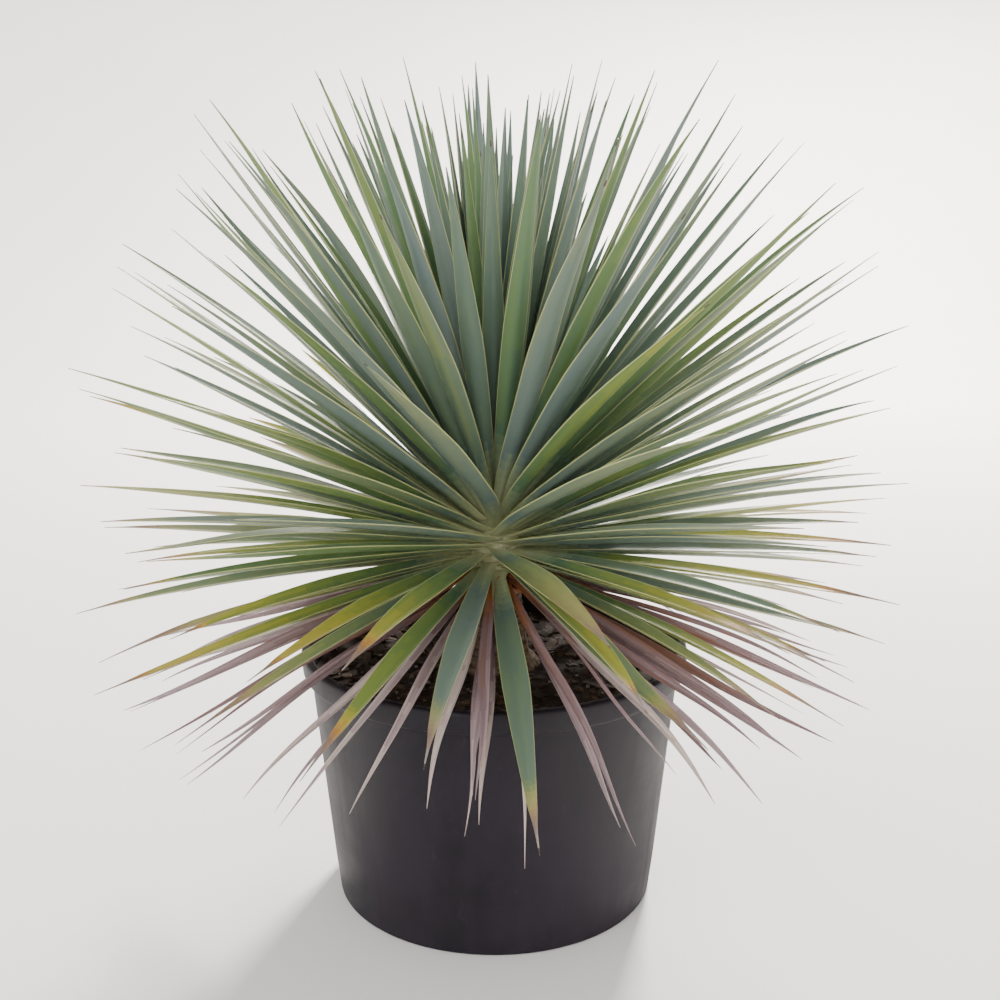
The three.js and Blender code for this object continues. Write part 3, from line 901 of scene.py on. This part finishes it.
def ring_faces(leaves, stations, ring):
    """Four-sided faces of closed rings, with both ends closed in strips, for all leaves in order."""
    row = np.arange(stations - 1)[:, None] * ring
    column = np.arange(ring)[None]
    a = row + column
    b = row + (column + 1) % ring
    walls = np.stack([a, b, b + ring, a + ring], axis=-1).reshape(-1, 4)
    half = np.arange(ring // 2 - 1)
    foot = np.stack([half, ring - 1 - half, ring - 2 - half, half + 1], axis=-1)
    tip = (stations - 1) * ring + np.stack([half, half + 1, ring - 2 - half, ring - 1 - half], axis=-1)
    one = np.concatenate([walls, foot, tip])
    return (one[None] + (np.arange(leaves) * stations * ring)[:, None, None]).reshape(-1, 4)


# The skins of a piece's leaves lie on one flat sheet, each leaf unrolled to a strip of its own.
STRIP_COLUMNS = 20
STRIP_ROWS = 5
STRIP_MARGIN = 0.04
STRIP_END_FLAP = 0.01


def strip_places(along, ring):
    """A place on the sheet for each corner of each face, in the order that ring_faces gives."""
    leaves, stations = along.shape
    lift = (along - along[:, :1]) / (along[:, -1:] - along[:, :1])
    column = np.arange(ring)
    low = np.repeat(lift[:, :-1, None], ring, axis=2)
    high = np.repeat(lift[:, 1:, None], ring, axis=2)
    left = np.broadcast_to(column / ring, low.shape)
    right = left + 1 / ring
    walls_u = np.stack([left, right, right, left], axis=-1).reshape(leaves, -1, 4)
    walls_v = np.stack([low, low, high, high], axis=-1).reshape(leaves, -1, 4)
    caps = np.arange(ring // 2 - 1) / ring
    flap = np.full_like(caps, STRIP_END_FLAP)
    foot_u = np.stack([caps, caps, caps + 1 / ring, caps + 1 / ring], axis=-1)
    foot_v = np.stack([0 * flap, -flap, -flap, 0 * flap], axis=-1)
    tip_u = np.stack([caps, caps + 1 / ring, caps + 1 / ring, caps], axis=-1)
    tip_v = np.stack([0 * flap, 0 * flap, flap, flap], axis=-1) + 1
    ends_u = np.broadcast_to(np.concatenate([foot_u, tip_u]), (leaves, 2 * len(caps), 4))
    ends_v = np.broadcast_to(np.concatenate([foot_v, tip_v]), (leaves, 2 * len(caps), 4))
    u = np.concatenate([walls_u, ends_u], axis=1) * (1 - 2 * STRIP_MARGIN) + STRIP_MARGIN
    v = np.concatenate([walls_v, ends_v], axis=1) * (1 - 2 * STRIP_MARGIN) + STRIP_MARGIN
    order = np.arange(leaves)[:, None, None]
    u = (order % STRIP_COLUMNS + u) / STRIP_COLUMNS
    v = (order // STRIP_COLUMNS + v) / STRIP_ROWS
    return np.stack([u, v], axis=-1)


# Screen colours by ripeness, from the white of a leaf's hidden base, through its green, to straw, brown
# and grey. The green is a different one from leaf to leaf: grey with wax, plain, or bright, where the
# bright one is painted light: the glow of a leaf lit through from behind. A leaf that yellows early is
# a bright one, and turns orange before it dries.
LEAF_BASES = [
    (-6, (212, 208, 182)),
    (-4, (184, 187, 147)),
    (-2, (141, 152, 117)),
]
GREENS = {
    "grey": [
        (0, (97, 113, 110)),
        (1, (103, 118, 106)),
        (2, (116, 126, 98)),
        (3, (134, 136, 96)),
        (4, (146, 140, 100)),
        (5, (144, 126, 98)),
    ],
    "plain": [
        (0, (90, 109, 98)),
        (1, (98, 115, 92)),
        (2, (114, 126, 83)),
        (3, (137, 139, 84)),
        (4, (152, 142, 90)),
        (5, (150, 126, 92)),
    ],
    # Painted light: these bright greens stand for the glow of leaves lit through from behind.
    "backlit_glow": [
        (0, (86, 113, 86)),
        (1, (95, 119, 74)),
        (2, (117, 132, 65)),
        (3, (150, 149, 58)),
        (4, (176, 154, 66)),
        (5, (172, 122, 64)),
    ],
}
LEAF_ENDS = [
    (6, (138, 114, 98)),
    (7, (148, 131, 124)),
    (8, (172, 158, 150)),
]
# A dead leaf goes from rust through mauve brown to the silver of old straw.
DECAY = [
    (0, (176, 108, 62)),
    (1, (142, 102, 88)),
    (2, (138, 114, 118)),
    (3, (166, 146, 148)),
    (4, (206, 188, 178)),
]
SHADE_STEP = 0.5
RAGGED_END = 0.012
# How far a strip along a leaf, and a fleck on it, are riper or more decayed than the rest.
LIVING_MOTTLE = {"stripe": 0.3, "fleck": 0.16}
DEAD_MOTTLE = {"stripe": 0.4, "fleck": 0.3}
FLECKS_ALONG = 9
FLECK_ROW = 31
# Over these limits of its chance a leaf is plain, and then bright with painted light, the glow of a leaf
# lit through from behind, which early yellowing makes more likely.
TONE_LIMITS = [-0.1, 0.55]
EARLY_YELLOWING = 0.35
EARLY_BRIGHTENING = 0.5
EDGE_START = 0.02
EDGE_END = 0.97
EDGE_BROWN_FROM = 3.4


def blade_skin(name, shade, dryness):
    """Leaf skin in one colour: fine fibres along the leaf, and wax that dulls it in clouds."""
    material, place = new_material(name)
    strip = place.node("ShaderNodeUVMap", {"uv_map": "OFBake"})
    fibres = strip.stretched((1300, 60, 1)).noise(1, 2, 0.5)
    wax = place.noise(70, 1)
    return finish(
        material,
        Base_Color=shade,
        Roughness=mix(0.26, 0.6, dryness) + wax * 0.16 + fibres * 0.08,
        Normal=fibres.bump(mix(0.3, 0.7, dryness), 0.0008),
        Specular_IOR_Level=mix(0.55, 0.3, dryness),
    )


def shade_row(prefix, stops, dry_from, dry_to):
    """Materials from the first stop to the last, one for each step."""
    positions = np.arange(stops[0][0], stops[-1][0] + SHADE_STEP / 2, SHADE_STEP)
    shades = [colour(*shade) for _, shade in stops]
    parts = [np.interp(positions, [p for p, _ in stops], [c[i] for c in shades]) for i in range(3)]
    made = []
    for i, position in enumerate(positions):
        dryness = min(1, max(0, (position - dry_from) / (dry_to - dry_from)))
        shade = (*(float(part[i]) for part in parts), 1)
        made.append(blade_skin(f"{prefix}_{i + 1}", shade, dryness))
    return made


def edge_skin(name, shade):
    """The horny edge or the spine of a leaf, smooth and hard."""
    material, place = new_material(name)
    worn = place.noise(90, 3)
    return finish(
        material,
        Base_Color=shade,
        Roughness=0.3 + worn * 0.25,
        Normal=worn.bump(0.2, 0.0005),
        Specular_IOR_Level=0.55,
    )


green_rows = []
for tone, greens in GREENS.items():
    green_rows.append(shade_row(f"leaf_{tone}", LEAF_BASES + greens + LEAF_ENDS, 4, 7))
dead_row = shade_row("leaf_dead", DECAY, -3, 1)
edge_straw = edge_skin("edge_straw", colour(170, 172, 118))
edge_brown = edge_skin("edge_brown", colour(146, 122, 88))
spine_brown = edge_skin("spine_brown", colour(74, 52, 40))
leaf_skins = [*sum(green_rows, []), *dead_row, edge_straw, edge_brown, spine_brown]
ROW_LENGTH = len(green_rows[0])
DEAD_START = ROW_LENGTH * len(green_rows)
EDGE_STRAW = leaf_skins.index(edge_straw)
EDGE_BROWN = leaf_skins.index(edge_brown)
SPINE_BROWN = leaf_skins.index(spine_brown)


RUST_LENGTH = 0.3
RUST_DEPTH = 2.2
BODY_DECAY = 2
DECAY_SPREAD = 1.1
TIP_DECAY = 1.4


def decay(leaf, along):
    """How far the dead leaves have decayed along their length: least at the rusty base."""
    body = BODY_DECAY + DECAY_SPREAD * chance(leaf["number"], "ripeness")
    rust = RUST_DEPTH * np.clip(1 - along / RUST_LENGTH, 0, 1)
    return body + TIP_DECAY * np.clip(along, 0, 1) ** 2 - rust


def skin_numbers(leaf, along, ring):
    """Which skin each face of the leaves' walls takes, by its age, its strip and its place."""
    broad = {trait: value[..., None] for trait, value in leaf.items()}
    number = broad["number"]
    column = np.arange(ring)[None, None]
    stripe = chance(number + column, "stripe")
    row = np.floor(along * FLECKS_ALONG)[..., None]
    fleck = chance(number + column + row * FLECK_ROW, "fleck")
    place = along[..., None] + RAGGED_END * chance(number + column, "ragged")
    ripe = ripeness(broad, place) + LIVING_MOTTLE["stripe"] * stripe + LIVING_MOTTLE["fleck"] * fleck
    bright = EARLY_BRIGHTENING * (chance(number, "yellowing") > EARLY_YELLOWING)
    tone = np.digitize(chance(number, "tone") + bright, TONE_LIMITS)
    tone = np.where((ripe < LEAF_BASES[-1][0]) | (ripe > LEAF_ENDS[0][0]), 0, tone)
    ripe_step = np.clip(np.round((ripe - LEAF_BASES[0][0]) / SHADE_STEP), 0, ROW_LENGTH - 1)
    rot = decay(broad, place) + DEAD_MOTTLE["stripe"] * stripe + DEAD_MOTTLE["fleck"] * fleck
    dead_step = np.clip(np.round((rot - DECAY[0][0]) / SHADE_STEP), 0, len(dead_row) - 1)
    skin = np.where(broad["dead"], DEAD_START + dead_step, ROW_LENGTH * tone + ripe_step).astype(int)
    last = len(ACROSS) - 2
    on_edge = np.isin(column, [0, last, last + 1, last + 2, ring - 2, ring - 1])
    horny = (along > EDGE_START) & (along < EDGE_END) & ~leaf["dead"]
    edge_slot = np.where(ripe.mean(axis=2) > EDGE_BROWN_FROM, EDGE_BROWN, EDGE_STRAW)
    skin = np.where(horny[..., None] & on_edge, edge_slot[..., None], skin)
    spine = (along > 1 - SPINE_LENGTH / leaf["length"]) & ~leaf["dead"]
    return np.where(spine[..., None], SPINE_BROWN, skin)


def leaf_piece(name, numbers, section=LIVING_SECTION):
    """All leaves with these numbers as one mesh, each face in the skin of its age."""
    leaf = leaf_traits(numbers)
    rings, along = blades(leaf, section)
    leaves, stations, ring = rings.shape[:3]
    walls = skin_numbers(leaf, (along[:, 1:] + along[:, :-1]) / 2, ring)
    ends = np.repeat(walls[:, :1, :1], ring - 2, axis=2).reshape(leaves, -1)
    slots = np.concatenate([walls.reshape(leaves, -1), ends], axis=1).reshape(-1)
    used = np.unique(slots)
    faces = ring_faces(leaves, stations, ring)
    piece = new_piece(name, rings.reshape(-1, 3), faces, [leaf_skins[i] for i in used], crease=50)
    piece.data.polygons.foreach_set("material_index", np.searchsorted(used, slots).astype(np.int32))
    sheet = piece.data.uv_layers.new(name="OFBake")
    sheet.data.foreach_set("uv", strip_places(along, ring).astype(np.float32).reshape(-1))
    return piece


TIERS = [
    ("dead_leaves", -24, 0, "dead_leaf"),
    ("low_leaves", 0, 24, "old_leaf"),
    ("spreading_leaves", 24, 48, "mature_leaf"),
    ("rising_leaves", 48, 72, "mature_leaf"),
    ("steep_leaves", 72, 96, "young_leaf"),
]
HEART_START = 96
DEAD_FOR_EACH = 3
# Between two leaves of the even rule stands a finer one, from this number up. None stands within this
# reach of the open side's middle, up to this slope.
FINER_FROM = 6
OPEN_REACH = 34
OPEN_UP_TO = 44


def with_finer(first, last):
    numbers = np.arange(first, last)
    finer = numbers[numbers >= FINER_FROM] + 0.5
    in_opening = (np.abs(leaf_side(finer)) < OPEN_REACH) & (leaf_elevation(finer) < OPEN_UP_TO)
    return np.concatenate([numbers, finer[~in_opening]])


for tier, first, last, slot_name in TIERS:
    if tier == "dead_leaves":
        dead_numbers = np.arange(first, last, 1 / DEAD_FOR_EACH)
        foliage = leaf_piece("dead_blades", dead_numbers, DEAD_SECTION)
    else:
        foliage = leaf_piece(tier.replace("leaves", "blades"), with_finer(first, last))
    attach(foliage, "root")
    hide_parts(*[f"{tier}_{band + 1}" for band in range(BANDS)])

heart = leaf_piece("heart_blades", with_finer(HEART_START, LIVING_LEAVES))
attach(heart, "root")
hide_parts("heart_leaves")

# The studio
# A pale round floor that curves up into a wall all round, a soft key light from above and behind, a
# broad fill from the front, and the camera.

STUDIO_RADIUS = 7.0
STUDIO_WALL = 5.0
STUDIO_CURVE = 3.0
STUDIO_CURVE_STEPS = 16
STUDIO_SEGMENTS = 96


def studio_outline():
    points = [Vector((0, 0)), Vector((1, 0))]
    for step in range(STUDIO_CURVE_STEPS + 1):
        angle = step / STUDIO_CURVE_STEPS * math.pi / 2
        radius = STUDIO_RADIUS - STUDIO_CURVE * (1 - math.sin(angle))
        points.append(Vector((radius, STUDIO_CURVE * (1 - math.cos(angle)))))
    points.append(Vector((STUDIO_RADIUS, STUDIO_WALL)))
    return points


def studio_paint():
    material, place = new_material("studio_paint")
    cloud = place.noise(1.2, 2)
    return finish(
        material,
        Base_Color=cloud.between(colour(226, 225, 222), colour(232, 231, 229)),
        Roughness=0.9,
        Specular_IOR_Level=0.2,
    )


studio_rings = [*studio_outline(), Vector((0, STUDIO_WALL))]
floor_points, floor_faces = turned(studio_rings, STUDIO_SEGMENTS)
# The round wall stays open at its top.
floor_faces = [face for face in floor_faces if len(floor_points) - 1 not in face]
floor = new_piece("studio_floor", floor_points, floor_faces, [studio_paint()])


def soft_light(name, place, aim, size, power, tint):
    """A square soft light that faces a point."""
    light = bpy.data.lights.new(name, "AREA")
    light.shape = "SQUARE"
    light.size = size
    light.energy = power
    light.color = tint
    lamp = bpy.data.objects.new(name, light)
    lamp.location = place
    lamp.rotation_euler = (Vector(aim) - Vector(place)).to_track_quat("-Z", "Y").to_euler()
    lamp.visible_camera = False
    bpy.context.scene.collection.objects.link(lamp)


CROWN_CENTRE = (0, 0, 0.55)
soft_light(
    "key_light", place=(1.6, 5.6, 3.9), aim=CROWN_CENTRE, size=1.1, power=1700, tint=(1.0, 0.96, 0.9)
)
soft_light(
    "fill_light", place=(-1.6, -2.8, 2.4), aim=CROWN_CENTRE, size=2.6, power=70, tint=(0.93, 0.96, 1.0)
)

SKY_TINT = (0.86, 0.9, 0.96, 1)
SKY_STRENGTH = 0.82
sky = bpy.data.worlds.new("studio_sky")
sky.use_nodes = True
sky.node_tree.nodes["Background"].inputs["Color"].default_value = SKY_TINT
sky.node_tree.nodes["Background"].inputs["Strength"].default_value = SKY_STRENGTH
bpy.context.scene.world = sky

CAMERA_PLACE = (0, -1.8, 0.977)
CAMERA_PITCH = 13.87
CAMERA_YAW = -0.23
SENSOR_WIDTH = 36
FOCAL_SHARE = 1.429
view = bpy.data.cameras.new("camera")
view.sensor_width = SENSOR_WIDTH
view.lens = SENSOR_WIDTH * FOCAL_SHARE
view.clip_start = 0.05
camera = bpy.data.objects.new("camera", view)
camera.location = CAMERA_PLACE
camera.rotation_euler = (math.radians(90 - CAMERA_PITCH), 0, math.radians(CAMERA_YAW))
bpy.context.scene.collection.objects.link(camera)
bpy.context.scene.camera = camera
